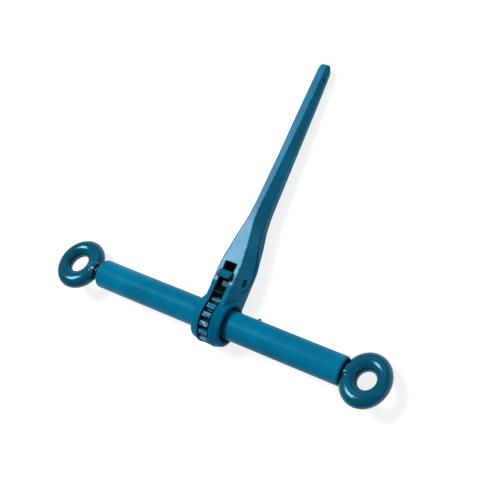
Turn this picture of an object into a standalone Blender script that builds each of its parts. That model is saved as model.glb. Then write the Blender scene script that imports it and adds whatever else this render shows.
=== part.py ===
"""Ratchet load binder, eye and eye, lying on a floor with its lever folded back onto it.

X runs along the barrel, Y along the lever and Z up. The origin is on the floor, under the middle
of the whole object. Lengths are in metres.
"""
from math import asin, ceil, cos, pi, radians, sin

import bmesh
import bpy
from mathutils import Matrix, Vector

MM = 0.001
GAP = 0.3 * MM

# Barrel: a tube with a threaded stretch at each end and a wider bore between them
BARREL_RADIUS = 16.8 * MM
BARREL_HALF_LENGTH = 160 * MM
BARREL_EDGE = 2.7 * MM
BARREL_STEPS = 40
MOUTH_RADIUS = 13.8 * MM
MOUTH_DEPTH = 6.3 * MM
NUT_LENGTH = 45 * MM
NUT_BORE = 8.0 * MM
RELIEF_BORE = 11.2 * MM

# Screw thread, 20 mm over the crests, trapezoidal, one hand at each end
PITCH = 4 * MM
CREST_RADIUS = 10 * MM
ROOT_RADIUS = 8 * MM
CREST_WIDTH = 1.25 * MM
FLANK_WIDTH = 0.75 * MM
THREAD_STEPS = 10
TAP_ROOM = 0.85 * MM

# Forged eyes
RING_RADIUS = 18.8 * MM
RING_SECTION = 9 * MM
RING_HALF_THICKNESS = 9.2 * MM
RING_STRETCH = 1.17
HOLE_SHIFT = 1.4 * MM
COLLAR_RADIUS = 10.6 * MM
COLLAR_END = 24.4 * MM
LIP_REACH = 13.3 * MM
LEFT_EYE_OUT = 33.2 * MM
RIGHT_EYE_OUT = 24.8 * MM
EYE_TURN = radians(-21)
SHANK_LENGTH = 148.4 * MM
STOP_PIN_RADIUS = 2 * MM
STOP_PIN_INSET = 5 * MM
STOP_PIN_HALF = 9.7 * MM

# Ratchet gear and its washers
TEETH = 16
GEAR_TIP = 28.4 * MM
GEAR_ROOT = 24.2 * MM
GEAR_HALF = 5.2 * MM
TOOTH_SHARE_TIP = 0.44
TOOTH_SHARE_ROOT = 0.62
WASHER_RADIUS = 23.4 * MM
LOCK_PIN_RADIUS = 1.6 * MM
LOCK_PIN_DEPTH = 12.4 * MM

# Lever: cheeks around the gear, a window above it, then a tapered bar
CHEEK_RADIUS = 28.9 * MM
CHEEK_INNER = 7 * MM
HUB_FACE = 17.7 * MM
# The hub's outside, as distance from the lever's middle plane and radius
HUB_OUTSIDE_MM = ((17.7, 25.2), (16.7, 26.4), (14.5, 27.1), (12.0, 27.5), (10.0, 28.4), (8.4, 28.9))
HUB_BORE = 17.5 * MM
HUB_MOUTH = 21.8 * MM
HUB_THROAT = 12.4 * MM
HUB_STEPS = 48
WINDOW_TOP = 63.5 * MM
LEVER_LENGTH = 318.5 * MM
HANG_HOLE_AT = 299 * MM
HANG_HOLE_RADIUS = 1.9 * MM
# Lever sections: distance along the lever, depth in front, depth behind, then half widths of the
# flat front and back edges and of the ridge between them, and the ridge's height
LEVER_SECTIONS_MM = (
    (16, 24.0, 26.4, 12.6, 14.0, -12.0),
    (44, 23.0, 26.4, 12.4, 14.0, -16.0),
    (64, 22.2, 26.2, 12.2, 13.6, -22.0),
    (79, 21.4, 25.8, 10.2, 13.0, -17.5),
    (91, 20.9, 25.2, 8.7, 10.0, -11.5),
    (102, 20.7, 24.7, 6.7, 8.0, -7.5),
    (113, 20.6, 23.8, 4.8, 7.0, -6.5),
    (128, 19.6, 22.0, 3.9, 6.5, -7.0),
    (152, 17.2, 20.4, 3.9, 6.2, -6.5),
    (200, 12.8, 18.2, 4.2, 6.2, -6.0),
    (231, 10.6, 16.6, 4.5, 6.4, -5.5),
    (283, 7.0, 14.8, 4.5, 6.4, -5.0),
    (308, 5.4, 13.6, 4.4, 6.3, -4.5),
)
TIP_STEPS = 4
EDGE_ROUND = 1.3 * MM
REST_AT = 79 * MM
REST_DEPTH = 25.8 * MM

# Pawl, its pin and its detent, along the lever from the barrel's axis
PIN_AT = 48.5 * MM
PIN_RADIUS = 4 * MM
PIN_HALF = 12.2 * MM
PIN_RECESS = 5.2 * MM
PAWL_HALF = 6.4 * MM
PAWL_HEAD_HALF = 8 * MM
PAWL_CROWN = 10.8 * MM
PAWL_SWING_DEGREES = 8
# A nose in its tooth gap, as distance from the barrel's axis in mm and degrees from the lever
NOSE_IN_GAP = ((37, 22), (32.5, 36.5), (31.5, 38.5), (29.2, 36.9), (26, 35.9),
               (26, 31.6), (29.2, 30.4), (29.4, 20), (30.6, 10))
# Outlines of the thumb tab from the pin's axis, along the lever and forward: stem, head
TAB_STEM_MM = ((5.8, 11.6), (4.4, 15.5), (4.1, 22), (3.8, 25.6), (-3.8, 27.6), (-4.6, 22), (-5.6, 16))
TAB_HEAD_MM = ((4.6, 24.9), (4.2, 26.4), (-1, 29.4), (-3.4, 30), (-5, 28.6), (-4.5, 24.9))
REAR_TAB_MM = ((5.8, 11.6), (3.6, 16), (2.9, 21.6), (1.6, 23.6), (-1.8, 24.4), (-5.2, 23.6),
               (-6.2, 21.6), (-6.2, 16))
PLUNGER_RADIUS = 2.8 * MM
PLUNGER_LENGTH = 13 * MM
SPRING_LENGTH = 11 * MM
DETENT_BORE_END = 85.5 * MM
SPRING_COILS = 6
SPRING_WIRE = 0.35 * MM

# Grease nipple on the back of the barrel
NIPPLE_AT = 43 * MM
NIPPLE_TURN = radians(-38)

BARREL_AXIS_X = 4.2 * MM
BARREL_AXIS_Y = -143.6 * MM
BARREL_AXIS_Z = CHEEK_RADIUS
LEVER_TILT = -asin((CHEEK_RADIUS - REST_DEPTH) / REST_AT)


def clear_scene():
    for obj in list(bpy.data.objects):
        bpy.data.objects.remove(obj, do_unlink=True)


def collection(name):
    made = bpy.data.collections.new(name)
    bpy.context.scene.collection.children.link(made)
    return made


def material(name, colour, roughness, metallic):
    made = bpy.data.materials.new(name)
    made.use_nodes = True
    shader = made.node_tree.nodes["Principled BSDF"]
    shader.inputs["Base Color"].default_value = (*colour, 1)
    shader.inputs["Roughness"].default_value = roughness
    shader.inputs["Metallic"].default_value = metallic
    return made


def place(obj, group, surface=None):
    """Links an object to its collection and gives it its material."""
    group.objects.link(obj)
    if surface:
        obj.data.materials.append(surface)
    return obj


def mesh_object(name, verts, edges, faces):
    mesh = bpy.data.meshes.new(name)
    mesh.from_pydata([Vector(v) for v in verts], edges, faces)
    mesh.update()
    return bpy.data.objects.new(name, mesh)


def bmesh_object(name, bm):
    mesh = bpy.data.meshes.new(name)
    bm.to_mesh(mesh)
    bm.free()
    return bpy.data.objects.new(name, mesh)


def turned(name, profile, steps, closed=False):
    """A solid of revolution about X. The profile holds (x, radius) points, from high x to low x
    along the outside; a closed one comes back along the bore."""
    count = len(profile)
    edges = [(i, i + 1) for i in range(count - 1)]
    if closed:
        edges.append((count - 1, 0))
    obj = mesh_object(name, [(x, r, 0) for x, r in profile], edges, [])
    spin = obj.modifiers.new("Turn", "SCREW")
    spin.axis = "X"
    spin.angle = 2 * pi
    spin.steps = steps
    spin.render_steps = steps
    spin.use_merge_vertices = True
    spin.merge_threshold = 0.00001
    spin.use_smooth_shade = True
    return obj


def cylinder(name, radius, length, steps, axis="X"):
    """A closed cylinder centred on its origin, along X, Y or Z."""
    bm = bmesh.new()
    bmesh.ops.create_cone(bm, cap_ends=True, segments=steps, radius1=radius, radius2=radius, depth=length)
    turn = {"X": Matrix.Rotation(pi / 2, 4, "Y"), "Y": Matrix.Rotation(-pi / 2, 4, "X"), "Z": Matrix()}
    bmesh.ops.transform(bm, matrix=turn[axis], verts=bm.verts)
    return bmesh_object(name, bm)


def box(name, low, high):
    bm = bmesh.new()
    bmesh.ops.create_cube(bm, size=1)
    size = [b - a for a, b in zip(low, high)]
    middle = [(a + b) / 2 for a, b in zip(low, high)]
    bmesh.ops.scale(bm, vec=size, verts=bm.verts)
    bmesh.ops.translate(bm, vec=middle, verts=bm.verts)
    return bmesh_object(name, bm)


def plate(name, loops, half_depth):
    """A flat outline in the YZ plane, thick along X. Each loop holds (y, z) points; loops after
    the first are holes."""
    curve = bpy.data.curves.new(name, "CURVE")
    curve.dimensions = "2D"
    curve.fill_mode = "BOTH"
    curve.extrude = half_depth
    for loop in loops:
        spline = curve.splines.new("POLY")
        spline.points.add(len(loop) - 1)
        spline.use_cyclic_u = True
        for point, (y, z) in zip(spline.points, loop):
            point.co = (y, z, 0, 1)
    drawn = bpy.data.objects.new(name + "_outline", curve)
    bpy.context.scene.collection.objects.link(drawn)
    bpy.context.view_layer.update()
    mesh = bpy.data.meshes.new_from_object(drawn.evaluated_get(bpy.context.evaluated_depsgraph_get()))
    bpy.data.objects.remove(drawn)
    bm = bmesh.new()
    bm.from_mesh(mesh)
    bmesh.ops.remove_doubles(bm, verts=bm.verts, dist=0.000001)
    outline_to_yz = Matrix(((0, 0, 1, 0), (1, 0, 0, 0), (0, 1, 0, 0), (0, 0, 0, 1)))
    bmesh.ops.transform(bm, matrix=outline_to_yz, verts=bm.verts)
    bmesh.ops.recalc_face_normals(bm, faces=bm.faces)
    return bmesh_object(name, bm)


def combine(obj, other, operation, cutters):
    """Adds a Boolean with another object, which is kept out of sight with the cutters."""
    if other.name not in cutters.objects:
        cutters.objects.link(other)
    other.hide_render = True
    other.display_type = "WIRE"
    other.parent = obj.parent
    modifier = obj.modifiers.new(operation.title() + " " + other.name, "BOOLEAN")
    modifier.operation = operation
    modifier.solver = "EXACT"
    modifier.object = other
    return obj


def arc(centre, radius, start, end, steps):
    """Points on an arc in a plane, its ends included."""
    turns = [start + (end - start) * i / steps for i in range(steps + 1)]
    return [(centre[0] + radius * cos(t), centre[1] + radius * sin(t)) for t in turns]


def helix_body(name, first, last, crest, root, crest_width, base_width, side):
    """A threaded rod along X between two places measured outward from the barrel's middle.

    Its ridge keeps one phase, counted from the barrel's end, so that a screw and its nut fit.
    Columns of points go round the axis, each a small part of a pitch further along; the last
    column meets the first one a whole pitch on. No modifier closes such a body, so its faces are
    made here, with a fan at each end. side is 1 on the right, and -1 for the left and a left hand."""
    ridge = ((-base_width / 2, root), (-crest_width / 2, crest),
             (crest_width / 2, crest), (base_width / 2, root))
    start_turn = -ceil((BARREL_HALF_LENGTH - first) / PITCH)
    turns = ceil((last - BARREL_HALF_LENGTH) / PITCH) - start_turn
    rows = 4 * turns

    def point(column, row):
        offset, radius = ridge[row % 4]
        x = BARREL_HALF_LENGTH + PITCH * (start_turn + row // 4 + column / THREAD_STEPS) + offset
        turn = 2 * pi * column / THREAD_STEPS
        return (side * x, radius * cos(turn), radius * sin(turn))

    verts = []
    index = {}
    for column in range(THREAD_STEPS):
        for row in range(rows + 5 if column == 0 else rows + 1):
            index[column, row] = len(verts)
            verts.append(point(column, row))
    for row in range(rows + 1):
        index[THREAD_STEPS, row] = index[0, row + 4]
    faces = []
    for column in range(THREAD_STEPS):
        for row in range(rows):
            faces.append((index[column, row], index[column + 1, row],
                          index[column + 1, row + 1], index[column, row + 1]))
    for row, seam in ((0, (4, 3, 2, 1)), (rows, (rows + 4, rows + 3, rows + 2, rows + 1))):
        rim = [index[column, row] for column in range(THREAD_STEPS)] + [index[0, k] for k in seam]
        hub = len(verts)
        verts.append((point(0, row if row == 0 else row + 4)[0], 0, 0))
        faces += [(hub, rim[i], rim[(i + 1) % len(rim)]) for i in range(len(rim))]
    bm = bmesh.new()
    made = [bm.verts.new(v) for v in verts]
    for face in faces:
        bm.faces.new([made[i] for i in face])
    bmesh.ops.recalc_face_normals(bm, faces=bm.faces)
    return bmesh_object(name, bm)


def thread_limits(side_gap):
    """Widths of a ridge at its crest and at its foot, wider by a gap on each flank."""
    return CREST_WIDTH + 2 * side_gap, CREST_WIDTH + 2 * FLANK_WIDTH + 2 * side_gap


def make_barrel(group, cutters, surface, parent):
    half = BARREL_HALF_LENGTH
    corner = arc((half - BARREL_EDGE, BARREL_RADIUS - BARREL_EDGE), BARREL_EDGE, 0, pi / 2, 3)
    outside = corner + [(-x, r) for x, r in reversed(corner)]
    nut_end = half - NUT_LENGTH
    floor = half - MOUTH_DEPTH
    bore = [(half, MOUTH_RADIUS), (floor, MOUTH_RADIUS - 0.2 * MM), (floor - 1 * MM, NUT_BORE),
            (nut_end, NUT_BORE), (nut_end - 3 * MM, RELIEF_BORE)]
    inside = [(-x, r) for x, r in bore] + list(reversed(bore))
    barrel = turned("barrel", outside + inside, BARREL_STEPS, closed=True)
    barrel.parent = parent
    # The room round a screw thread, from just outside the barrel's end to the wider bore
    crest, foot = thread_limits(GAP)
    narrower = TAP_ROOM * FLANK_WIDTH / (CREST_RADIUS - ROOT_RADIUS) * 2
    for side, name in ((-1, "left_tap"), (1, "right_tap")):
        tap = helix_body(name, nut_end - 5 * MM, half + 4 * MM, CREST_RADIUS + TAP_ROOM,
                         ROOT_RADIUS + TAP_ROOM, crest - narrower, foot - narrower, side)
        combine(barrel, tap, "DIFFERENCE", cutters)
    for side, name in ((1, "upper_pin_seat"), (-1, "lower_pin_seat")):
        seat = cylinder(name, LOCK_PIN_RADIUS + GAP, 20 * MM, 16, "Z")
        turn = LEVER_TILT + gap_turn(side)
        seat.rotation_euler = (turn, 0, 0)
        seat.location = turn_x((0, 0, side * (LOCK_PIN_DEPTH - GAP + 10 * MM)), turn)
        combine(barrel, seat, "DIFFERENCE", cutters)
    hole = cylinder("nipple_seat", 2.3 * MM, 20 * MM, 16, "Y")
    hole.rotation_euler = (NIPPLE_TURN, 0, 0)
    hole.location = turn_x((NIPPLE_AT, 15 * MM, 0), NIPPLE_TURN)
    combine(barrel, hole, "DIFFERENCE", cutters)
    return place(barrel, group, surface)


def turn_x(point, angle):
    return Matrix.Rotation(angle, 4, "X") @ Vector(point)


def gap_turn(side):
    """Turn from straight up or down to the middle of the gear's nearest tooth gap."""
    pitch = 2 * pi / TEETH
    return side * pitch / 2


def make_ring(name, middle, side):
    """A forged ring, a little wider than long and thickest next to the shank."""
    bpy.ops.mesh.primitive_torus_add(major_segments=32, minor_segments=14,
                                     major_radius=RING_RADIUS, minor_radius=RING_SECTION)
    ring = bpy.context.object
    ring.name = name
    for home in ring.users_collection:
        home.objects.unlink(ring)
    for vertex in ring.data.vertices:
        inward = (RING_RADIUS + RING_SECTION - vertex.co.xy.length) / (2 * RING_SECTION)
        vertex.co.x += side * HOLE_SHIFT * inward
        vertex.co.y *= RING_STRETCH
        vertex.co.z *= RING_HALF_THICKNESS / RING_SECTION
    ring.data.transform(Matrix.Rotation(EYE_TURN, 4, "X"))
    ring.data.transform(Matrix.Translation((side * middle, 0, 0)))
    return ring


def make_eye(name, side, out, group, cutters, surface, parent):
    """A forged ring on a threaded shank. out is how far its middle stands beyond the barrel."""
    middle = BARREL_HALF_LENGTH + out
    inner = middle - SHANK_LENGTH
    eye = make_ring(name, middle, side)
    eye.parent = parent
    # Room for the barrel's lip, outside the part of the ring that enters its mouth
    lip = BARREL_HALF_LENGTH + 0.5 * MM
    room_profile = [(lip, 40 * MM), (lip - 30 * MM, 40 * MM), (lip - 30 * MM, LIP_REACH), (lip, LIP_REACH)]
    room = turned(name + "_lip_room", [(side * x, r) for x, r in room_profile][::side], 32, closed=True)
    combine(eye, room, "DIFFERENCE", cutters)
    # The turned blank that the thread is cut on, from inside the ring to the chamfered inner end
    blank_radius = CREST_RADIUS + 0.15 * MM
    blank_profile = [(middle - 17 * MM, 0), (middle - 17 * MM, blank_radius - 1 * MM),
                     (middle - 20 * MM, blank_radius), (inner + 2.2 * MM, blank_radius),
                     (inner, 7.4 * MM), (inner, 0)]
    blank = turned(name + "_blank", [(side * x, r) for x, r in blank_profile][::side], 24)
    crest, foot = thread_limits(0)
    shank = helix_body(name + "_shank", inner - 2 * PITCH, middle - 5 * MM,
                       CREST_RADIUS, ROOT_RADIUS, crest, foot, side)
    shank.parent = parent
    combine(shank, blank, "INTERSECT", cutters)
    combine(eye, shank, "UNION", cutters)
    collar_profile = [(middle - 13.1 * MM, 0), (middle - 13.2 * MM, 5.2 * MM),
                      (middle - 15.2 * MM, 8.7 * MM), (middle - 18 * MM, 10 * MM),
                      (middle - 20.5 * MM, COLLAR_RADIUS), (middle - COLLAR_END, COLLAR_RADIUS),
                      (middle - COLLAR_END - 0.9 * MM, 9 * MM), (middle - COLLAR_END - 0.9 * MM, 0)]
    collar = turned(name + "_collar", [(side * x, r) for x, r in collar_profile][::side], 28)
    combine(eye, collar, "UNION", cutters)
    hole = cylinder(name + "_stop_hole", STOP_PIN_RADIUS + GAP, 30 * MM, 16, "Z")
    hole.location = (side * (inner + STOP_PIN_INSET), 0, 0)
    combine(eye, hole, "DIFFERENCE", cutters)
    eye.data.shade_smooth()
    return place(eye, group, surface)


def make_stop_pin(name, side, out, group, surface, parent):
    pin = cylinder(name, STOP_PIN_RADIUS, 2 * STOP_PIN_HALF, 16, "Z")
    pin.location = (side * (BARREL_HALF_LENGTH + out - SHANK_LENGTH + STOP_PIN_INSET), 0, 0)
    pin.parent = parent
    return place(pin, group, surface)


def gear_outline():
    """Square-shouldered teeth, the first one centred on the lever's direction."""
    pitch = 2 * pi / TEETH
    points = []
    root = TOOTH_SHARE_ROOT * pitch / 2
    tip = TOOTH_SHARE_TIP * pitch / 2
    for tooth in range(TEETH):
        middle = pitch * tooth
        for radius, turn in ((GEAR_ROOT, middle - root), (GEAR_TIP, middle - tip),
                             (GEAR_TIP, middle + tip), (GEAR_ROOT, middle + root)):
            points.append((radius * cos(turn), radius * sin(turn)))
    return points


def make_gear(group, cutters, surface, parent):
    bore = arc((0, 0), BARREL_RADIUS + GAP, 0, 2 * pi, BARREL_STEPS)[:-1]
    gear = plate("ratchet_gear", [gear_outline(), bore], GEAR_HALF)
    gear.rotation_euler = (LEVER_TILT, 0, 0)
    gear.parent = parent
    for side, name in ((1, "upper_key_hole"), (-1, "lower_key_hole")):
        hole = cylinder(name, LOCK_PIN_RADIUS + GAP, 24 * MM, 16, "Z")
        hole.rotation_euler = (LEVER_TILT + gap_turn(side), 0, 0)
        hole.location = turn_x((0, 0, side * 26 * MM), LEVER_TILT + gap_turn(side))
        combine(gear, hole, "DIFFERENCE", cutters)
    return place(gear, group, surface)


def make_lock_pin(name, side, group, surface, parent):
    length = GEAR_ROOT - 0.6 * MM - LOCK_PIN_DEPTH
    pin = cylinder(name, LOCK_PIN_RADIUS, length, 12, "Z")
    turn = LEVER_TILT + gap_turn(side)
    pin.rotation_euler = (turn, 0, 0)
    pin.location = turn_x((0, 0, side * (LOCK_PIN_DEPTH + length / 2)), turn)
    pin.parent = parent
    return place(pin, group, surface)


def make_washer(name, side, group, surface, parent):
    inner = GEAR_HALF + GAP
    outer = CHEEK_INNER - GAP
    bore = BARREL_RADIUS + 0.5 * MM
    profile = [(outer, WASHER_RADIUS), (inner, WASHER_RADIUS), (inner, bore), (outer, bore)]
    if side < 0:
        profile = [(-x, r) for x, r in reversed(profile)]
    washer = turned(name, profile, 48, closed=True)
    washer.parent = parent
    return place(washer, group, surface)


def make_nipple(group, surface, parent):
    """A grease nipple, turned about its own axis: seat, collar, neck and head."""
    base = BARREL_RADIUS + GAP
    profile = [(base + 6.2 * MM, 0), (base + 6 * MM, 1.5 * MM), (base + 4.6 * MM, 1.9 * MM),
               (base + 3.4 * MM, 1.3 * MM), (base + 2.6 * MM, 2.9 * MM), (base + 0.1 * MM, 3.1 * MM),
               (base + 0.1 * MM, 2 * MM), (base - 4.5 * MM, 2 * MM), (base - 4.5 * MM, 0)]
    nipple = turned("grease_fitting", profile, 16)
    outward = Matrix.Rotation(NIPPLE_TURN, 4, "X") @ Matrix.Rotation(pi / 2, 4, "Z")
    nipple.rotation_euler = outward.to_euler()
    nipple.location = (NIPPLE_AT, 0, 0)
    nipple.parent = parent
    return place(nipple, group, surface)


def lever_rings():
    """Sections of the lever's bar, as rings of six points: front edges, ridges and back edges."""
    rings = []
    for along, front, rear, edge, ridge, height in LEVER_SECTIONS_MM:
        corners = ((edge, front), (ridge, height), (edge, -rear),
                   (-edge, -rear), (-ridge, height), (-edge, front))
        rings.append([(x * MM, along * MM, z * MM) for x, z in corners])
    # The rounded tip: the last section drawn in towards its middle along a quarter circle
    along, front, rear = LEVER_SECTIONS_MM[-1][:3]
    last = along * MM
    middle = (front - rear) / 2 * MM
    outer = rings[-1]
    for step in range(1, TIP_STEPS + 1):
        turn = pi / 2 * step / (TIP_STEPS + 0.4)
        reach = last + (LEVER_LENGTH - last) * sin(turn)
        narrow = 1 - 0.45 * (1 - cos(turn))
        rings.append([(x * narrow, reach, middle + (z - middle) * cos(turn)) for x, _, z in outer])
    return rings


def make_lever_bar(name):
    rings = lever_rings()
    count = len(rings[0])
    verts = [point for ring in rings for point in ring]
    faces = [tuple(range(count)), tuple(reversed(range(len(verts) - count, len(verts))))]
    for low in range(0, len(verts) - count, count):
        for i in range(count):
            j = (i + 1) % count
            faces.append((low + i, low + count + i, low + count + j, low + j))
    bar = mesh_object(name, verts, [], faces)
    bm = bmesh.new()
    bm.from_mesh(bar.data)
    bmesh.ops.recalc_face_normals(bm, faces=bm.faces)
    bm.to_mesh(bar.data)
    bm.free()
    rounding = bar.modifiers.new("Rounded edges", "BEVEL")
    rounding.width = EDGE_ROUND
    rounding.segments = 2
    rounding.limit_method = "ANGLE"
    rounding.angle_limit = radians(35)
    return bar


def make_lever(group, cutters, surface, parent):
    # Both cheeks and their hubs as one turned body; the slot parts them
    outer = [(x * MM, radius * MM) for x, radius in HUB_OUTSIDE_MM]
    inner = HUB_BORE - 1 * MM
    profile = outer + [(-x, r) for x, r in reversed(outer)] + [(-HUB_FACE, inner), (HUB_FACE, inner)]
    lever = turned("lever", profile, HUB_STEPS, closed=True)
    lever.parent = parent
    combine(lever, make_lever_bar("lever_bar"), "UNION", cutters)
    slot = box("gear_slot", (-CHEEK_INNER, -50 * MM, -50 * MM), (CHEEK_INNER, WINDOW_TOP, 50 * MM))
    combine(lever, slot, "DIFFERENCE", cutters)
    # The bore, dished towards each face
    dish = (HUB_MOUTH - HUB_BORE) / (HUB_FACE - HUB_THROAT)
    wide = HUB_BORE + (40 * MM - HUB_THROAT) * dish
    through = [(40 * MM, 0), (40 * MM, wide), (HUB_THROAT, HUB_BORE),
               (-HUB_THROAT, HUB_BORE), (-40 * MM, wide), (-40 * MM, 0)]
    combine(lever, turned("hub_bore", through, HUB_STEPS), "DIFFERENCE", cutters)
    fit = PIN_RADIUS + GAP
    pin_hole = [(40 * MM, 0), (40 * MM, PIN_RECESS), (PIN_HALF, PIN_RECESS), (PIN_HALF, fit),
                (-PIN_HALF, fit), (-PIN_HALF, PIN_RECESS), (-40 * MM, PIN_RECESS), (-40 * MM, 0)]
    seat = turned("pawl_pin_seat", pin_hole, 24)
    seat.location = (0, PIN_AT, 0)
    combine(lever, seat, "DIFFERENCE", cutters)
    bore = cylinder("detent_bore", PLUNGER_RADIUS + GAP, 40 * MM, 16, "Y")
    bore.location = (0, DETENT_BORE_END - 20 * MM, 0)
    combine(lever, bore, "DIFFERENCE", cutters)
    hang = cylinder("hang_hole", HANG_HOLE_RADIUS, 40 * MM, 16, "X")
    hang.location = (0, HANG_HOLE_AT, 0)
    combine(lever, hang, "DIFFERENCE", cutters)
    return place(lever, group, surface)


def in_mm(points, flip=1):
    return [(y * MM, flip * z * MM) for y, z in points]


def pawl_nose():
    """A nose at the pawl's middle position, swung back out of the gap it fits."""
    back = radians(-PAWL_SWING_DEGREES)
    points = []
    for distance, degrees in NOSE_IN_GAP:
        y = distance * cos(radians(degrees)) * MM - PIN_AT
        z = distance * sin(radians(degrees)) * MM
        points.append((y * cos(back) - z * sin(back), y * sin(back) + z * cos(back)))
    return points


def pawl_outline():
    """A round crown, a thumb tab in front, a shorter one behind and a nose for each way.
    Points are (y, z) from the pin's axis, with the lever's tip towards +y."""
    crown = arc((0, 0), PAWL_CROWN, radians(-44), radians(44), 8)
    nose = pawl_nose()
    rear_nose = [(y, -z) for y, z in reversed(nose)]
    rear_tab = in_mm(reversed(REAR_TAB_MM), -1)
    return crown + in_mm(TAB_STEM_MM) + nose + rear_nose + rear_tab


def make_pawl(group, cutters, surface, parent):
    hole = arc((0, 0), PIN_RADIUS + GAP, 0, 2 * pi, 24)[:-1]
    pawl = plate("pawl", [pawl_outline(), hole], PAWL_HALF)
    pawl.parent = parent
    combine(pawl, plate("pawl_tab_head", [in_mm(TAB_HEAD_MM)], PAWL_HEAD_HALF), "UNION", cutters)
    return place(pawl, group, surface)


def make_pawl_pin(group, surface, parent):
    half = PIN_HALF - GAP
    edge = 0.5 * MM
    profile = [(half, 0), (half, PIN_RADIUS - edge), (half - edge, PIN_RADIUS), (-half + edge, PIN_RADIUS),
               (-half, PIN_RADIUS - edge), (-half, 0)]
    pin = turned("pawl_pin", profile, 24)
    pin.location = (0, PIN_AT, 0)
    pin.parent = parent
    return place(pin, group, surface)


def make_plunger(group, surface, parent):
    """A plunger with a rounded nose, along the lever, its nose just off the pawl's crown."""
    nose = PIN_AT + PAWL_CROWN + GAP
    dome = arc((PLUNGER_RADIUS, 0), PLUNGER_RADIUS, pi, pi / 2, 3)
    profile = [(PLUNGER_LENGTH, 0), (PLUNGER_LENGTH, PLUNGER_RADIUS)] + list(reversed(dome))
    plunger = turned("detent_plunger", profile, 16)
    plunger.rotation_euler = (0, 0, pi / 2)
    plunger.location = (0, nose, 0)
    plunger.parent = parent
    return place(plunger, group, surface)


def make_spring(group, surface, parent):
    """A coil spring between the plunger and the blind end of its bore."""
    start = PIN_AT + PAWL_CROWN + PLUNGER_LENGTH + 3 * GAP
    radius = PLUNGER_RADIUS - SPRING_WIRE - 0.2 * MM
    steps = 10
    curve = bpy.data.curves.new("detent_spring", "CURVE")
    curve.dimensions = "3D"
    curve.bevel_depth = SPRING_WIRE
    curve.bevel_resolution = 1
    curve.use_fill_caps = True
    spline = curve.splines.new("POLY")
    spline.points.add(SPRING_COILS * steps)
    for i, point in enumerate(spline.points):
        turn = 2 * pi * i / steps
        along = start + SPRING_WIRE + SPRING_LENGTH * i / (SPRING_COILS * steps)
        point.co = (radius * cos(turn), along, radius * sin(turn), 1)
    spring = bpy.data.objects.new("detent_spring", curve)
    spring.parent = parent
    return place(spring, group, surface)


def pivot(name, location, turn, parent=None):
    """An empty on a joint's axis, which carries the pieces that move about it."""
    empty = bpy.data.objects.new(name, None)
    empty.empty_display_size = 0.02
    empty.location = location
    empty.rotation_euler = (turn, 0, 0)
    empty.parent = parent
    bpy.context.scene.collection.objects.link(empty)
    return empty


def build():
    clear_scene()
    parts = collection("load_binder")
    cutters = collection("cutters")
    paint = material("teal_paint", (0.004, 0.118, 0.190), 0.28, 0.0)
    gear_steel = material("painted_worn_steel", (0.10, 0.22, 0.28), 0.4, 0.5)
    bare_steel = material("oiled_steel", (0.18, 0.17, 0.16), 0.38, 0.9)
    spring_steel = material("spring_steel", (0.35, 0.35, 0.36), 0.3, 1.0)
    axis = pivot("barrel_axis", (BARREL_AXIS_X, BARREL_AXIS_Y, BARREL_AXIS_Z), 0)
    lever_pivot = pivot("lever_pivot", (0, 0, 0), LEVER_TILT, axis)
    pawl_pivot = pivot("pawl_pivot", (0, PIN_AT, 0), 0, lever_pivot)
    make_barrel(parts, cutters, paint, axis)
    make_eye("left_eye_screw", -1, LEFT_EYE_OUT, parts, cutters, paint, axis)
    make_eye("right_eye_screw", 1, RIGHT_EYE_OUT, parts, cutters, paint, axis)
    make_stop_pin("screw_stop_pin_left", -1, LEFT_EYE_OUT, parts, bare_steel, axis)
    make_stop_pin("screw_stop_pin_right", 1, RIGHT_EYE_OUT, parts, bare_steel, axis)
    make_gear(parts, cutters, gear_steel, axis)
    make_lock_pin("gear_lock_pin_upper", 1, parts, bare_steel, axis)
    make_lock_pin("gear_lock_pin_lower", -1, parts, bare_steel, axis)
    make_washer("thrust_washer_left", -1, parts, bare_steel, axis)
    make_washer("thrust_washer_right", 1, parts, bare_steel, axis)
    make_nipple(parts, bare_steel, axis)
    make_lever(parts, cutters, paint, lever_pivot)
    make_pawl(parts, cutters, paint, pawl_pivot)
    make_pawl_pin(parts, bare_steel, lever_pivot)
    make_plunger(parts, spring_steel, lever_pivot)
    make_spring(parts, spring_steel, lever_pivot)


build()
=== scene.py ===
from math import asin, ceil, cos, pi, radians, sin

import bmesh
import bpy
import numpy as np
from mathutils import Matrix, Vector


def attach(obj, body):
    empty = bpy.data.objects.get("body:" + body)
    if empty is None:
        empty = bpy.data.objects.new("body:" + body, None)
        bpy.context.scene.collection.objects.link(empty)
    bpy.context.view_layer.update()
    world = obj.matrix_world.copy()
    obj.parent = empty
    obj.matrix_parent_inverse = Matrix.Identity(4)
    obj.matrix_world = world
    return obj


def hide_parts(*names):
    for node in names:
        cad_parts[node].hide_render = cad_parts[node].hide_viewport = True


# Ratchet load binder: detailed meshes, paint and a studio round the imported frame.
# Metres, with Z up. Names ending in _MM, and profiles and outlines, are in millimetres.
MM = 0.001

# How it lies: the barrel's axis along X, and the lever leaning back until it rests on the floor
HUB_RADIUS_MM = 28.9
REST_AT_MM = 79
REST_DEPTH_MM = 25.8
AXIS = Vector((4.2, -143.6, HUB_RADIUS_MM)) * MM
TILT = -asin((HUB_RADIUS_MM - REST_DEPTH_MM) / REST_AT_MM)

# Barrel: half its length, and its bore from the end inward as (depth, radius)
HALF = 160 * MM
BARREL_RADIUS_MM = 16.8
BARREL_CORNER_MM = 2.7
BARREL_BORE = ((0.05, 13.9), (0.4, 13.75), (6.2, 13.6), (7.3, 8.0), (45, 8.0), (48, 11.2))

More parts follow.
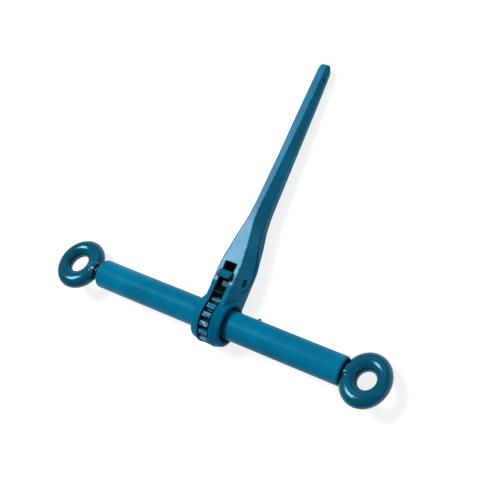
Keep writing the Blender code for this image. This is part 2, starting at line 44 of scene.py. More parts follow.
# Screws: one thread ridge as (offset along X, radius), and where the thread ends inside the collar
PITCH = 4 * MM
THREAD_RIDGE = ((-1.375, 8.0), (-0.62, 9.9), (-0.5, 10.0), (0.5, 10.0), (0.62, 9.9), (1.375, 8.0))
THREAD_STEPS = 40
THREAD_END_MM = 22.5
SHANK_LENGTH = 148.4 * MM

# Eyes: name, CAD node, body, side, and how far the ring's middle stands out of the barrel in mm
EYES = (("left_eye", "left_eye_screw", "left_screw", -1, 33.2),
        ("right_eye", "right_eye_screw", "right_screw", 1, 24.8))
RING_RADIUS = 18.8 * MM
RING_SECTION = 9 * MM
RING_HALF_THICKNESS = 9.2 * MM
RING_STRETCH = 1.17
HOLE_SHIFT = 1.4 * MM
EYE_TURN = radians(-21)
# The collar as (distance back from the ring's middle, radius)
COLLAR = ((12.9, 0), (13.2, 5.4), (14.5, 8.2), (16.5, 10.0), (19, 10.7),
          (23.9, 10.7), (24.5, 10.3), (24.9, 9.4), (24.9, 0))
# The space the barrel's end takes from a ring: clearance, depth, and inner and outer radius
MOUTH_CLEARANCE_MM = 0.5
MOUTH_DEPTH_MM = 30
MOUTH_INSIDE_MM = 13.3
MOUTH_OUTSIDE_MM = 40

# Lever hub: half its outside as (x, radius), its rough inside, and the dished bore
HUB_OUTSIDE = ((17.7, 24.9), (17.5, 25.5), (16.7, 26.3), (15.4, 26.8), (13.6, 27.2),
               (12.0, 27.6), (10.6, 28.3), (9.4, 28.75), (8.0, 28.9))
HUB_INSIDE = ((-17.7, 16.5), (17.7, 16.5))
HUB_BORE = ((40, 0), (40, 39.9), (12.4, 17.5), (-12.4, 17.5), (-40, 39.9), (-40, 0))

# Lever bar: distance along it, front, rear, half width at both, half width at the ridge, ridge's height
SECTIONS = (
    (16, 24.0, 26.4, 12.6, 14.0, -12.0),
    (44, 23.0, 26.4, 12.4, 14.0, -16.0),
    (64, 22.2, 26.2, 12.2, 13.6, -22.0),
    (79, 21.4, 25.8, 10.2, 13.0, -17.5),
    (91, 20.9, 25.2, 8.7, 10.0, -11.5),
    (102, 20.7, 24.7, 6.7, 8.0, -7.5),
    (113, 20.6, 23.8, 4.8, 7.0, -6.5),
    (128, 19.6, 22.0, 3.9, 6.5, -7.0),
    (152, 17.2, 20.4, 3.9, 6.2, -6.5),
    (200, 12.8, 18.2, 4.2, 6.2, -6.0),
    (231, 10.6, 16.6, 4.5, 6.4, -5.5),
    (283, 7.0, 14.8, 4.5, 6.4, -5.0),
    (308, 5.4, 13.6, 4.4, 6.3, -4.5),
)
LEVER_LENGTH_MM = 318.3
# The slot between the cheeks
SLOT_LOW_MM = (-7, -50, -50)
SLOT_HIGH_MM = (7, 63.5, 50)
# Bores in the lever: radius and distance along it
SEAT_RADIUS_MM = 4.9
SPRING_BORE_RADIUS_MM = 3.1
SPRING_BORE_AT_MM = 65.5
HANG_HOLE_RADIUS_MM = 1.9
HANG_HOLE_AT_MM = 299

# The raised flat round the pin, as points along the lever and forward
BOSS = ((112, -5.0), (98, -6.0), (84, -7.8), (73, -11.5), (63, -15.2), (54, -16), (46, -14), (40, -8.5),
        (37, -1), (35, 8), (34, 24), (34, 60), (140, 60), (140, -5))
BOSS_HEIGHT = 0.7 * MM
BOSS_CREASE = 1.1 * MM

# Gear: one tooth as (radius, share of half a pitch)
TEETH = 16
TOOTH = ((24.2, -0.62), (28.4, -0.44), (28.4, 0.44), (24.2, 0.62))
GEAR_BORE = 17.1 * MM
GEAR_HALF_WIDTH = 5.2 * MM

# Pawl: a nose as (distance, degrees) seen from the barrel's axis, and the rest round the pin
PIN_AT = 48.5 * MM
PAWL_TURN = radians(-8)
PAWL_NOSE = ((37, 22), (32.5, 36.5), (31.5, 38.5), (29.2, 36.9), (26, 35.9),
             (26, 31.6), (29.2, 30.4), (29.4, 20), (30.6, 10))
PAWL_STEM = [(5.8, 11.6), (4.4, 15.5), (4.1, 22), (3.8, 25.6), (-3.8, 27.6), (-4.6, 22), (-5.6, 16)]
PAWL_REAR = [(-6.2, -16), (-6.2, -21.6), (-5.2, -23.6), (-1.8, -24.4), (1.6, -23.6), (2.9, -21.6),
             (3.6, -16), (5.8, -11.6)]
PAWL_HEAD = ((4.6, 24.9), (4.2, 26.4), (-1, 29.4), (-3.4, 30), (-5, 28.6), (-4.5, 24.9))
PAWL_CROWN_RADIUS_MM = 10.8
PAWL_HOLE_RADIUS_MM = 4.3
PAWL_HALF_WIDTH = 6.4 * MM
PAWL_HEAD_HALF_WIDTH = 8 * MM
# Half the riveted pin as (x, radius)
PIN_SIDE = [(11.0, 0), (11.1, 1.5), (11.4, 3.2), (11.5, 4.0),
            (11.2, 4.6), (10.5, 4.75), (8.0, 4.75), (7.4, 4.0)]

# Paint, and the painted shade of hollows and creases, as linear colours
PAINT_DEEP = (0.0006, 0.120, 0.225)
PAINT_LIGHT = (0.0010, 0.158, 0.290)
PAINTED_SHADE = (0.0008, 0.012, 0.022)

# Camera: three turns and a shift in mm in the lever's own frame, and its focal length in pixels
CAMERA_TURNS = ((0.3493349, "Z"), (0.4531244, "Y"), (-0.1266082, "X"))
CAMERA_SHIFT_MM = (-26.0031, 88.4105, 1150)
FOCAL_PIXELS = 1034.118
IMAGE_PIXELS = 480
SENSOR_MM = 36

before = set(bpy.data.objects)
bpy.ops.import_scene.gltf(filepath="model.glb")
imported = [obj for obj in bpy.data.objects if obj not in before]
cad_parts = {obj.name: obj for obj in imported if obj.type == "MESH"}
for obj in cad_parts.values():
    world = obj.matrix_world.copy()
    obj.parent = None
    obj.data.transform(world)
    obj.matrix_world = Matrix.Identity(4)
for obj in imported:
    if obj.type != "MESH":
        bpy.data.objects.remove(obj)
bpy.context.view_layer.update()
TO_WORLD = Matrix.Translation(AXIS)
LEVER_TO_WORLD = TO_WORLD @ Matrix.Rotation(TILT, 4, "X")


# Meshes

def link(obj):
    bpy.context.scene.collection.objects.link(obj)
    return obj


def from_bmesh(name, bm):
    mesh = bpy.data.meshes.new(name)
    bm.to_mesh(mesh)
    bm.free()
    return link(bpy.data.objects.new(name, mesh))


def from_faces(name, verts, edges, faces):
    mesh = bpy.data.meshes.new(name)
    mesh.from_pydata([Vector(v) for v in verts], edges, faces)
    bm = bmesh.new()
    bm.from_mesh(mesh)
    bmesh.ops.recalc_face_normals(bm, faces=bm.faces)
    bm.to_mesh(mesh)
    bm.free()
    return link(bpy.data.objects.new(name, mesh))


def settle(obj):
    """Applies an object's modifiers to its mesh."""
    bpy.context.view_layer.update()
    evaluated = obj.evaluated_get(bpy.context.evaluated_depsgraph_get())
    mesh = bpy.data.meshes.new_from_object(evaluated)
    obj.modifiers.clear()
    obj.data = mesh
    return obj


def turned(name, profile, steps, closed=False):
    """A solid of revolution about X from (x, radius) points in mm."""
    edges = [(i, i + 1) for i in range(len(profile) - 1)]
    if closed:
        edges.append((len(profile) - 1, 0))
    obj = link(bpy.data.objects.new(name, bpy.data.meshes.new(name)))
    obj.data.from_pydata([Vector((x * MM, r * MM, 0)) for x, r in profile], edges, [])
    spin = obj.modifiers.new("Turn", "SCREW")
    spin.axis = "X"
    spin.angle = 2 * pi
    spin.steps = steps
    spin.render_steps = steps
    spin.use_merge_vertices = True
    spin.merge_threshold = 0.00001
    settle(obj)
    bm = bmesh.new()
    bm.from_mesh(obj.data)
    bmesh.ops.remove_doubles(bm, verts=bm.verts, dist=0.000005)
    bmesh.ops.recalc_face_normals(bm, faces=bm.faces)
    bm.to_mesh(obj.data)
    bm.free()
    return obj


def drill(name, radius_mm, along_mm, turn):
    """A cutter 40 mm long across the lever's middle line, turned from Z."""
    radius = radius_mm * MM
    bm = bmesh.new()
    bmesh.ops.create_cone(bm, cap_ends=True, segments=48, radius1=radius, radius2=radius, depth=40 * MM)
    bmesh.ops.transform(bm, matrix=turn, verts=bm.verts)
    cutter = from_bmesh(name, bm)
    cutter.data.transform(Matrix.Translation((0, along_mm * MM, 0)))
    return cutter


def block(name, low_mm, high_mm):
    low = [v * MM for v in low_mm]
    high = [v * MM for v in high_mm]
    bm = bmesh.new()
    bmesh.ops.create_cube(bm, size=1)
    bmesh.ops.scale(bm, vec=[b - a for a, b in zip(low, high)], verts=bm.verts)
    bmesh.ops.translate(bm, vec=[(a + b) / 2 for a, b in zip(low, high)], verts=bm.verts)
    return from_bmesh(name, bm)


def plate(name, loops, half_depth):
    """A flat outline in the YZ plane, thick along X, from loops of (y, z) points in metres."""
    curve = bpy.data.curves.new(name, "CURVE")
    curve.dimensions = "2D"
    curve.fill_mode = "BOTH"
    curve.extrude = half_depth
    for loop in loops:
        spline = curve.splines.new("POLY")
        spline.points.add(len(loop) - 1)
        spline.use_cyclic_u = True
        for point, (y, z) in zip(spline.points, loop):
            point.co = (y, z, 0, 1)
    drawn = link(bpy.data.objects.new(name + "_outline", curve))
    bpy.context.view_layer.update()
    mesh = bpy.data.meshes.new_from_object(drawn.evaluated_get(bpy.context.evaluated_depsgraph_get()))
    bpy.data.objects.remove(drawn)
    bm = bmesh.new()
    bm.from_mesh(mesh)
    bmesh.ops.remove_doubles(bm, verts=bm.verts, dist=0.000001)
    to_yz = Matrix(((0, 0, 1, 0), (1, 0, 0, 0), (0, 1, 0, 0), (0, 0, 0, 1)))
    bmesh.ops.transform(bm, matrix=to_yz, verts=bm.verts)
    bmesh.ops.recalc_face_normals(bm, faces=bm.faces)
    return from_bmesh(name, bm)


def combine(obj, other, operation):
    """An exact Boolean; the other object is used up."""
    modifier = obj.modifiers.new(operation, "BOOLEAN")
    modifier.operation = operation
    modifier.solver = "EXACT"
    modifier.object = other
    settle(obj)
    bpy.data.objects.remove(other)
    return obj


def forged(obj, voxel, smoothing):
    """Remeshes a solid finely and softens its edges, as a forging's are."""
    remesh = obj.modifiers.new("Remesh", "REMESH")
    remesh.mode = "VOXEL"
    remesh.voxel_size = voxel
    soften = obj.modifiers.new("Soften", "SMOOTH")
    soften.factor = 0.5
    soften.iterations = smoothing
    settle(obj)
    obj.data.shade_smooth()
    return obj


def rounded(obj, width):
    """Bevels a solid's edges, except the shallow ones of its bore."""
    bevel = obj.modifiers.new("Rounded edges", "BEVEL")
    bevel.width = width
    bevel.segments = 3
    bevel.limit_method = "ANGLE"
    bevel.angle_limit = radians(30)
    settle(obj)
    obj.data.shade_smooth()
    obj.data.set_sharp_from_angle(angle=radians(50))
    return obj


def arc(centre, radius, start, end, steps):
    turns = [start + (end - start) * i / steps for i in range(steps + 1)]
    return [(centre[0] + radius * cos(t), centre[1] + radius * sin(t)) for t in turns]


def finished(obj, placing, body, slot, surface, *nodes):
    """Puts a piece in place, on its body, with its material; its slot is not used."""
    obj.data.transform(placing)
    obj.data.materials.clear()
    obj.data.materials.append(surface)
    if nodes:
        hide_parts(*nodes)
    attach(obj, body)
    return obj


def thread(name, first, last, side):
    """A trapezoidal thread along X between two distances from the barrel's middle, in metres.

    Columns run once round the screw and rows run along it. The last column is the first one, a pitch
    further on, so the first column has the rows of one more ridge.
    """
    size = len(THREAD_RIDGE)
    start = -ceil((HALF - first) / PITCH)
    turns = ceil((last - HALF) / PITCH) - start
    rows = size * turns

    def point(column, row):
        offset, radius = THREAD_RIDGE[row % size]
        x = HALF + PITCH * (start + row // size + column / THREAD_STEPS) + offset * MM
        turn = 2 * pi * column / THREAD_STEPS
        return (side * x, radius * MM * cos(turn), radius * MM * sin(turn))

    verts = []
    index = {}
    for column in range(THREAD_STEPS):
        extra = size if column == 0 else 0
        for row in range(rows + extra + 1):
            index[column, row] = len(verts)
            verts.append(point(column, row))
    for row in range(rows + 1):
        index[THREAD_STEPS, row] = index[0, row + size]
    faces = []
    for column in range(THREAD_STEPS):
        for row in range(rows):
            faces.append((index[column, row], index[column + 1, row],
                          index[column + 1, row + 1], index[column, row + 1]))
    for row, end_row in ((0, 0), (rows, rows + size)):
        rim = [index[column, row] for column in range(THREAD_STEPS)]
        rim += [index[0, row + k] for k in range(size, 0, -1)]
        hub = len(verts)
        verts.append((point(0, end_row)[0], 0, 0))
        faces += [(hub, rim[i], rim[(i + 1) % len(rim)]) for i in range(len(rim))]
    made = from_faces(name, verts, [], faces)
    made.data.shade_smooth()
    made.data.set_sharp_from_angle(angle=radians(35))
    return made


def make_ring(name, side, middle):
    """A torus stretched across the screw, its hole shifted outward, and turned about the screw."""
    bpy.ops.mesh.primitive_torus_add(major_segments=120, minor_segments=48,
                                     major_radius=RING_RADIUS, minor_radius=RING_SECTION)
    ring = bpy.context.object
    ring.name = name
    for vertex in ring.data.vertices:
        inward = (RING_RADIUS + RING_SECTION - vertex.co.xy.length) / (2 * RING_SECTION)
        vertex.co.x += side * HOLE_SHIFT * inward
        vertex.co.y *= RING_STRETCH
        vertex.co.z *= RING_HALF_THICKNESS / RING_SECTION
    ring.data.transform(Matrix.Rotation(EYE_TURN, 4, "X"))
    ring.data.transform(Matrix.Translation((side * middle, 0, 0)))
    return ring


def make_eye(name, side, out_mm):
    """The forged ring with its collar, blended into one body, clear of the barrel's end."""
    middle = HALF + out_mm * MM
    ring = make_ring(name, side, middle)
    middle_mm = middle / MM
    profile = [(side * (middle_mm - back), radius) for back, radius in COLLAR]
    combine(ring, turned(name + "_collar", profile, 64), "UNION")
    lip = HALF / MM + MOUTH_CLEARANCE_MM
    around = [(lip, MOUTH_OUTSIDE_MM), (lip - MOUTH_DEPTH_MM, MOUTH_OUTSIDE_MM),
              (lip - MOUTH_DEPTH_MM, MOUTH_INSIDE_MM), (lip, MOUTH_INSIDE_MM)]
    room = turned(name + "_room", [(side * x, r) for x, r in around], 64, closed=True)
    combine(ring, room, "DIFFERENCE")
    return forged(ring, 0.4 * MM, 16)


def make_barrel():
    half = HALF / MM
    centre = (half - BARREL_CORNER_MM, BARREL_RADIUS_MM - BARREL_CORNER_MM)
    corner = arc(centre, BARREL_CORNER_MM, 0, pi / 2, 8)
    outside = corner + [(-x, r) for x, r in reversed(corner)]
    bore = [(half - depth, radius) for depth, radius in BARREL_BORE]
    inside = [(-x, r) for x, r in bore] + list(reversed(bore))
    barrel = turned("barrel_tube", outside + inside, 160, closed=True)
    barrel.data.shade_smooth()
    barrel.data.set_sharp_from_angle(angle=radians(40))
    return barrel


def spread(sections, steps):
    """More sections between the given ones, on a smooth curve through them."""
    made = []
    count = len(sections)
    for i in range(count - 1):
        a = sections[i]
        b = sections[i + 1]
        before = sections[max(i - 1, 0)]
        after = sections[min(i + 2, count - 1)]
        length = b[0] - a[0]
        for k in range(steps):
            t = k / steps
            row = [a[0] + length * t]
            for c in range(1, 6):
                rise_a = (b[c] - before[c]) / (b[0] - before[0]) * length
                rise_b = (after[c] - a[c]) / (after[0] - a[0]) * length
                row.append((2 * t ** 3 - 3 * t ** 2 + 1) * a[c] + (t ** 3 - 2 * t ** 2 + t) * rise_a
                           + (3 * t ** 2 - 2 * t ** 3) * b[c] + (t ** 3 - t ** 2) * rise_b)
            made.append(row)
    made.append(list(sections[-1]))
    return made


def make_lever_bar():
    """Six-sided rings along the lever, closed by a rounded tip."""
    rings = []
    for along, front, rear, edge, ridge, height in spread(SECTIONS, 8):
        corners = ((edge, front), (ridge, height), (edge, -rear),
                   (-edge, -rear), (-ridge, height), (-edge, front))
        rings.append([(x * MM, along * MM, z * MM) for x, z in corners])
    last, front, rear = SECTIONS[-1][:3]
    middle = (front - rear) / 2 * MM
    outer = rings[-1]
    # The rounded tip stops just short of a quarter turn, where its last ring would shrink to a line
    for step in range(1, 13):
        turn = pi / 2 * step / 12.3
        reach = (last + (LEVER_LENGTH_MM - last) * sin(turn)) * MM
        narrow = 1 - 0.4 * (1 - cos(turn))
        rings.append([(x * narrow, reach, middle + (z - middle) * cos(turn)) for x, _, z in outer])
    verts = [point for ring in rings for point in ring]
    faces = [tuple(range(6)), tuple(range(len(verts) - 6, len(verts)))]
    for low in range(0, len(verts) - 6, 6):
        for i in range(6):
            j = (i + 1) % 6
            faces.append((low + i, low + 6 + i, low + 6 + j, low + j))
    return from_faces("lever_bar", verts, [], faces)


def make_lever():
    outer = list(HUB_OUTSIDE)
    profile = outer + [(-x, r) for x, r in reversed(outer)] + list(HUB_INSIDE)
    lever = turned("lever_forging", profile, 144, closed=True)
    combine(lever, make_lever_bar(), "UNION")
    combine(lever, block("slot", SLOT_LOW_MM, SLOT_HIGH_MM), "DIFFERENCE")
    combine(lever, turned("through", HUB_BORE, 96), "DIFFERENCE")
    reach = 40
    seat_profile = [(reach, 0), (reach, SEAT_RADIUS_MM), (-reach, SEAT_RADIUS_MM), (-reach, 0)]
    seat = turned("seat", seat_profile, 48)
    seat.data.transform(Matrix.Translation((0, PIN_AT, 0)))
    combine(lever, seat, "DIFFERENCE")
    lengthwise = Matrix.Rotation(-pi / 2, 4, "X")
    crosswise = Matrix.Rotation(pi / 2, 4, "Y")
    combine(lever, drill("bore", SPRING_BORE_RADIUS_MM, SPRING_BORE_AT_MM, lengthwise), "DIFFERENCE")
    combine(lever, drill("hang", HANG_HOLE_RADIUS_MM, HANG_HOLE_AT_MM, crosswise), "DIFFERENCE")
    return raise_boss(forged(lever, 0.5 * MM, 5))


def from_outline(outline, y, z):
    """Which points lie inside an outline, and how far each is from it."""
    inside = np.zeros(len(y), bool)
    near = np.full(len(y), 1e9)
    for (y0, z0), (y1, z1) in zip(outline, outline[1:] + outline[:1]):
        crosses = (z0 > z) != (z1 > z)
        if z0 != z1:
            inside ^= crosses & (y < (y1 - y0) * (z - z0) / (z1 - z0) + y0)
        length_squared = (y1 - y0) ** 2 + (z1 - z0) ** 2
        share = np.clip(((y - y0) * (y1 - y0) + (z - z0) * (z1 - z0)) / length_squared, 0, 1)
        near = np.minimum(near, np.hypot(y - y0 - share * (y1 - y0), z - z0 - share * (z1 - z0)))
    return inside, near


def raise_boss(lever):
    """Raises the fork's flat sides round the pin a little, with a crease along the edge behind it.

    The crease's depth is kept as a point attribute, which the paint darkens as painted shade in the
    crease.
    """
    mesh = lever.data
    spots = np.empty(len(mesh.vertices) * 3)
    mesh.vertices.foreach_get("co", spots)
    spots = spots.reshape(-1, 3)
    normals = np.empty(len(mesh.vertices) * 3)
    mesh.vertices.foreach_get("normal", normals)
    sideways = normals.reshape(-1, 3)[:, 0]
    along = spots[:, 1] / MM
    height = spots[:, 2] / MM
    inside, near = from_outline(BOSS, along, height)
    step = np.clip(0.5 + np.where(inside, near, -near), 0, 1)
    flat = np.clip((np.abs(sideways) - 0.4) / 0.3, 0, 1)
    outer = sideways * spots[:, 0] > 0
    shown = np.clip((135 - along) / 25, 0, 1) * flat * outer
    width = 1.1 + 0.8 * np.clip((along - 58) / 12, 0, 1)
    crease = np.exp(-(near / width) ** 2) * np.clip((3 - height) / 8, 0, 1)
    spots[:, 0] += np.sign(sideways) * (step * BOSS_HEIGHT - crease * BOSS_CREASE) * shown
    mesh.vertices.foreach_set("co", spots.ravel())
    # Painted shade: the crease's depth, kept for the paint to darken
    crease_shade = mesh.attributes.new("crease_shade", "FLOAT", "POINT")
    crease_shade.data.foreach_set("value", crease * shown)
    mesh.update()
    return lever


def make_gear():
    pitch = 2 * pi / TEETH
    points = []
    for tooth in range(TEETH):
        for radius, share in TOOTH:
            turn = pitch * tooth + share * pitch / 2
            points.append((radius * MM * cos(turn), radius * MM * sin(turn)))
    bore = arc((0, 0), GEAR_BORE, 0, 2 * pi, 96)[:-1]
    return rounded(plate("gear_teeth", [points, bore], GEAR_HALF_WIDTH), 0.5 * MM)


def make_pawl():
    nose = []
    for distance, degrees in PAWL_NOSE:
        y = distance * cos(radians(degrees)) - PIN_AT / MM
        z = distance * sin(radians(degrees))
        nose.append((y * cos(PAWL_TURN) - z * sin(PAWL_TURN), y * sin(PAWL_TURN) + z * cos(PAWL_TURN)))
    crown = arc((0, 0), PAWL_CROWN_RADIUS_MM, radians(-44), radians(44), 24)
    outline = crown + PAWL_STEM + nose + [(y, -z) for y, z in reversed(nose)] + PAWL_REAR
    hole = arc((0, 0), PAWL_HOLE_RADIUS_MM, 0, 2 * pi, 48)[:-1]
    loops = [[(y * MM, z * MM) for y, z in loop] for loop in (outline, hole, PAWL_HEAD)]
    pawl = plate("pawl_forging", loops[:2], PAWL_HALF_WIDTH)
    combine(pawl, plate("head", loops[2:], PAWL_HEAD_HALF_WIDTH), "UNION")
    return forged(pawl, 0.3 * MM, 4)


# Materials

class Surface:
    """A material built from shader nodes, with short ways to add them."""

    def __init__(self, name):
        self.material = bpy.data.materials.new(name)
        self.material.use_nodes = True
        self.nodes = self.material.node_tree.nodes
        self.links = self.material.node_tree.links
        self.shader = self.nodes["Principled BSDF"]
        self.place = self.add("ShaderNodeTexCoord").outputs["Object"]

    def add(self, kind, **values):
        node = self.nodes.new(kind)
        for key, value in values.items():
            setattr(node, key, value)
        return node

    def join(self, source, target):
        self.links.new(source, target)

    def noise(self, scale, detail=4.0, roughness=0.55, stretch=None):
        node = self.add("ShaderNodeTexNoise")
        node.inputs["Scale"].default_value = scale
        node.inputs["Detail"].default_value = detail
        node.inputs["Roughness"].default_value = roughness
        source = self.place
        if stretch:
            mapping = self.add("ShaderNodeMapping")
            mapping.inputs["Scale"].default_value = stretch
            self.join(source, mapping.inputs["Vector"])
            source = mapping.outputs["Vector"]
        self.join(source, node.inputs["Vector"])
        return node.outputs["Fac"]

    def span(self, source, low, high, to_low=0.0, to_high=1.0):
        node = self.add("ShaderNodeMapRange")
        self.join(source, node.inputs["Value"])
        node.inputs["From Min"].default_value = low
        node.inputs["From Max"].default_value = high
        node.inputs["To Min"].default_value = to_low
        node.inputs["To Max"].default_value = to_high
        return node.outputs["Result"]

    def maths(self, operation, a, b):
        node = self.add("ShaderNodeMath", operation=operation)
        for socket, value in zip(node.inputs, (a, b)):
            if isinstance(value, (int, float)):
                socket.default_value = value
            else:
                self.join(value, socket)
        return node.outputs["Value"]

    def mix(self, factor, a, b):
        node = self.add("ShaderNodeMix", data_type="RGBA")
        self.join(factor, node.inputs["Factor"])
        for socket, value in ((node.inputs[6], a), (node.inputs[7], b)):
            if isinstance(value, tuple):
                socket.default_value = (*value, 1)
            else:
                self.join(value, socket)
        return node.outputs[2]

    def edges(self, radius, low, high):
        """1 along sharp edges, 0 on flat ground, broken up by noise."""
        bevel = self.add("ShaderNodeBevel", samples=4)
        bevel.inputs["Radius"].default_value = radius
        normal = self.add("ShaderNodeNewGeometry").outputs["Normal"]
        dot = self.add("ShaderNodeVectorMath", operation="DOT_PRODUCT")
        self.join(bevel.outputs["Normal"], dot.inputs[0])
        self.join(normal, dot.inputs[1])
        sharp = self.span(dot.outputs["Value"], 1.0 - low, 1.0 - high)
        broken = self.span(self.noise(420, 5), 0.38, 0.62)
        return self.maths("MULTIPLY", sharp, broken)

    def bump(self, height, strength, distance):
        node = self.add("ShaderNodeBump")
        node.inputs["Strength"].default_value = strength
        node.inputs["Distance"].default_value = distance
        self.join(height, node.inputs["Height"])
        self.join(node.outputs["Normal"], self.shader.inputs["Normal"])

    def away_from_axis(self):
        """Distance from the barrel's axis."""
        parts = self.add("ShaderNodeSeparateXYZ")
        self.join(self.place, parts.inputs["Vector"])
        y = self.maths("SUBTRACT", parts.outputs["Y"], AXIS.y)
        z = self.maths("SUBTRACT", parts.outputs["Z"], AXIS.z)
        square = self.maths("ADD", self.maths("MULTIPLY", y, y), self.maths("MULTIPLY", z, z))
        return self.maths("SQRT", square, 0.0)


def paint(name, shade=1.0, gloss=0.12, rough=(0.18, 0.25), tint=(0.30, 0.80, 1.0), worn=(0.05, 0.26, 0.36),
          wear=0.35):
    """Gloss paint with a faint mottle, orange peel and rubbed edges, and painted shade darkening its
    hollows and creases.
    """
    s = Surface(name)
    cloud = s.span(s.noise(28, 5), 0.35, 0.65)
    base = s.mix(cloud, tuple(c * shade for c in PAINT_DEEP), tuple(c * shade for c in PAINT_LIGHT))
    rubbed = s.maths("MULTIPLY", s.edges(0.0007, 0.004, 0.06), wear)
    colour = s.mix(rubbed, base, worn)
    # Painted shade: where ambient occlusion finds a hollow, the colour is darkened towards the painted
    # shade colour
    hollow = s.add("ShaderNodeAmbientOcclusion", samples=6)
    hollow.inputs["Distance"].default_value = 0.02
    open_air = s.span(hollow.outputs["AO"], 0.12, 0.80)
    shaded = s.mix(open_air, PAINTED_SHADE, colour)
    # Painted shade: the crease behind the raised flat, from the point attribute, is darkened further
    crease = s.add("ShaderNodeAttribute", attribute_name="crease_shade").outputs["Fac"]
    s.join(s.mix(s.maths("MULTIPLY", crease, 0.85), shaded, PAINTED_SHADE), s.shader.inputs["Base Color"])
    dull = s.maths("ADD", s.span(s.noise(60, 4), 0.3, 0.7, *rough), s.maths("MULTIPLY", rubbed, 0.12))
    s.join(dull, s.shader.inputs["Roughness"])
    s.shader.inputs["Specular IOR Level"].default_value = gloss
    s.shader.inputs["Specular Tint"].default_value = (*tint, 1)
    s.bump(s.noise(650, 3), 0.10, 0.0001)
    return s


def steel(name, dark, bright, stretch=None):
    """Bare oiled steel with fine streaks and brighter edges."""
    s = Surface(name)
    streak = s.span(s.noise(260, 5, 0.6, stretch), 0.3, 0.7)
    edge = s.edges(0.0004, 0.01, 0.12)
    colour = s.mix(s.maths("MAXIMUM", s.maths("MULTIPLY", streak, 0.5), edge), dark, bright)
    s.join(colour, s.shader.inputs["Base Color"])
    s.join(s.span(s.noise(150, 4), 0.3, 0.7, 0.3, 0.5), s.shader.inputs["Roughness"])
    s.shader.inputs["Metallic"].default_value = 0.85
    s.bump(s.noise(900, 3), 0.15, 0.0001)
    return s


def cover(s, mask, colour):
    """Mixes another colour over a surface where a mask is 1."""
    under = s.shader.inputs["Base Color"].links[0].from_socket
    s.join(s.mix(mask, under, colour), s.shader.inputs["Base Color"])


def gear_surface():
    """Painted teeth with their edges rubbed bright, and the gaps between them painted near-black as
    painted shade.
    """
    s = paint("gear_paint_worn", worn=(0.62, 0.72, 0.76), wear=1.0)
    top = s.span(s.away_from_axis(), 0.0278, 0.0284)
    patch = s.span(s.noise(160, 5), 0.56, 0.66)
    cover(s, s.maths("MULTIPLY", top, patch), (0.50, 0.58, 0.62))
    # Painted shade: near-black towards the tooth roots, where the gaps between teeth are shaded
    cover(s, s.span(s.away_from_axis(), 0.0262, 0.0246), (0.003, 0.010, 0.014))
    return s


def pawl_surface():
    """Paint on the tab, and painted shade, near-black, nearer the gear, on the body and the noses."""
    s = paint("pawl_paint", 0.75)
    # Painted shade: near-black on the body and noses, closer to the barrel's axis than the tab
    cover(s, s.span(s.away_from_axis(), 0.056, 0.052), (0.003, 0.006, 0.009))
    return s


# The object

paint_surface = paint("teal_gloss_paint", 0.85, 0.01, (0.24, 0.32)).material
# The lever's up-facing front faces take a brighter copy of the paint than its other faces: painted light
lit_front_surface = paint("teal_gloss_paint_front_lit", 1.0, 0.26, (0.26, 0.32), (0.60, 0.86, 1.0)).material
# The eyes take a glossier copy of the paint at half its brightness; the darkening is painted shade
shaded_eye_surface = paint("teal_gloss_paint_eyes_shaded", 0.50, 0.45, (0.14, 0.20)).material
barrel_surface = paint("teal_gloss_paint_barrel", 1.0, 0.04, (0.28, 0.36)).material
thread_surface = steel("oiled_thread", (0.012, 0.011, 0.010), (0.10, 0.08, 0.065), (1, 4, 4)).material
bare_surface = steel("oiled_bare_steel", (0.030, 0.028, 0.027), (0.30, 0.29, 0.28)).material
# Near-black paint; on the detent plunger and spring, inside the lever, it is painted shade; the thrust
# washers take it too
dark_steel_and_shade_surface = paint("blackened_steel_and_painted_shade", 0.06, 0.05, (0.38, 0.50), worn=(0.03, 0.035, 0.04)).material

for name, node, body, side, out_mm in EYES:
    finished(make_eye(name, side, out_mm), TO_WORLD, body, "teal_paint", shaded_eye_surface, node)
    inner = HALF + out_mm * MM - SHANK_LENGTH
    outer = HALF + (out_mm - THREAD_END_MM) * MM
    screw = thread(name + "_thread", inner, outer, side)
    finished(screw, TO_WORLD, body, "oiled_steel", thread_surface)

finished(make_barrel(), TO_WORLD, "barrel", "teal_paint", barrel_surface, "barrel")
lever = make_lever()
finished(lever, LEVER_TO_WORLD, "lever", "teal_paint", paint_surface, "lever")
# The front face, above the hub, has its own glossier paint in the second slot, brighter than on the
# lever's other faces: painted light on the up-facing front
lever.data.materials.append(lit_front_surface)
for face in lever.data.polygons:
    face.material_index = int(face.normal.z > 0.8 and face.center.y > AXIS.y + 40 * MM)
finished(make_gear(), LEVER_TO_WORLD, "barrel", "worn_gear", gear_surface().material, "ratchet_gear")
pawl_place = LEVER_TO_WORLD @ Matrix.Translation((0, PIN_AT, 0))
finished(make_pawl(), pawl_place, "pawl", "teal_paint", pawl_surface().material, "pawl")

pin = turned("pawl_pin_riveted", PIN_SIDE + [(-x, r) for x, r in reversed(PIN_SIDE)], 48)
pin.data.shade_smooth()
finished(pin, pawl_place, "lever", "oiled_steel", paint_surface, "pawl_pin")

CAD_FINISH = {
    "grease_fitting": paint_surface,
    "thrust_washer_left": dark_steel_and_shade_surface,
    "thrust_washer_right": dark_steel_and_shade_surface,
    "gear_lock_pin_upper": bare_surface,
    "gear_lock_pin_lower": bare_surface,
    "screw_stop_pin_left": bare_surface,
    "screw_stop_pin_right": bare_surface,
    "detent_plunger": dark_steel_and_shade_surface,
    "detent_spring": dark_steel_and_shade_surface,
}
for node, surface in CAD_FINISH.items():
    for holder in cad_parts[node].material_slots:
        holder.material = surface


# Studio

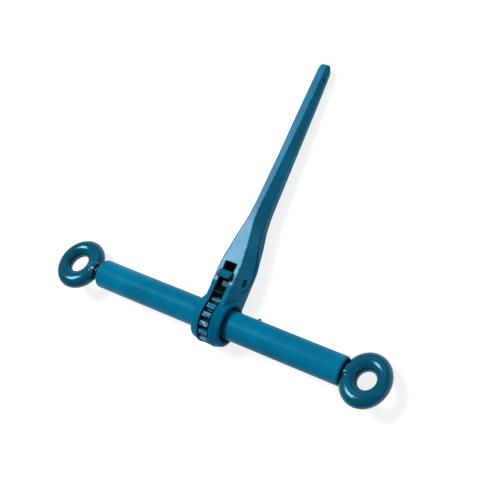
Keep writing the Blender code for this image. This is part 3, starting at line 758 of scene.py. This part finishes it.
def make_floor():
    bm = bmesh.new()
    bmesh.ops.create_grid(bm, x_segments=8, y_segments=8, size=30)
    floor = from_bmesh("studio_floor", bm)
    s = Surface("pale_floor")
    s.join(s.mix(s.noise(3, 3), (0.38, 0.38, 0.38), (0.40, 0.40, 0.40)), s.shader.inputs["Base Color"])
    s.shader.inputs["Emission Color"].default_value = (1, 1, 1, 1)
    s.shader.inputs["Emission Strength"].default_value = 0.80
    s.shader.inputs["Roughness"].default_value = 0.9
    s.shader.inputs["Specular IOR Level"].default_value = 0.1
    floor.data.materials.append(s.material)


def area_light(name, place, size, power):
    """A square softbox that faces the middle of the object."""
    data = bpy.data.lights.new(name, "AREA")
    data.shape = "RECTANGLE"
    data.size = size
    data.size_y = size
    data.energy = power
    lamp = link(bpy.data.objects.new(name, data))
    lamp.location = place
    lamp.rotation_euler = (-Vector(place)).to_track_quat("-Z", "Y").to_euler()


def make_world(strength):
    world = bpy.data.worlds.new("studio")
    world.use_nodes = True
    bpy.context.scene.world = world
    ground = world.node_tree.nodes["Background"]
    ground.inputs["Color"].default_value = (1, 1, 1, 1)
    ground.inputs["Strength"].default_value = strength


def make_camera():
    """Places the camera from its turns and shift, whose axes are right, down and away."""
    turn = Matrix.Identity(3)
    for angle, axis in CAMERA_TURNS:
        turn = turn @ Matrix.Rotation(angle, 3, axis)
    turn = turn @ Matrix(((1, 0, 0), (0, 0, -1), (0, 1, 0)))
    lever_turn = LEVER_TO_WORLD.to_3x3()

    def in_world(v):
        return lever_turn @ Vector((v[0], v[2], -v[1]))

    away = turn.transposed() @ Vector(CAMERA_SHIFT_MM)
    spot = LEVER_TO_WORLD @ (Vector((-away[0], -away[2], away[1])) * MM)
    axes = Matrix((in_world(turn[0]), in_world(-turn[1]), in_world(-turn[2]))).transposed().to_4x4()
    data = bpy.data.cameras.new("camera")
    data.sensor_width = SENSOR_MM
    data.lens = FOCAL_PIXELS / IMAGE_PIXELS * SENSOR_MM
    data.clip_start = 0.05
    data.clip_end = 50
    camera = link(bpy.data.objects.new("camera", data))
    camera.matrix_world = Matrix.Translation(spot) @ axes
    bpy.context.scene.camera = camera


make_floor()
make_world(0.22)
area_light("key_softbox", (-1.19, 0.38, 2.42), 1.0, 80)
area_light("right_fill", (2.6, 0.9, 2.2), 1.5, 6)
area_light("back_fill", (-0.6, 2.6, 2.0), 1.5, 5)
make_camera()
bpy.context.scene.view_settings.view_transform = "Standard"
bpy.context.scene.view_settings.look = "None"
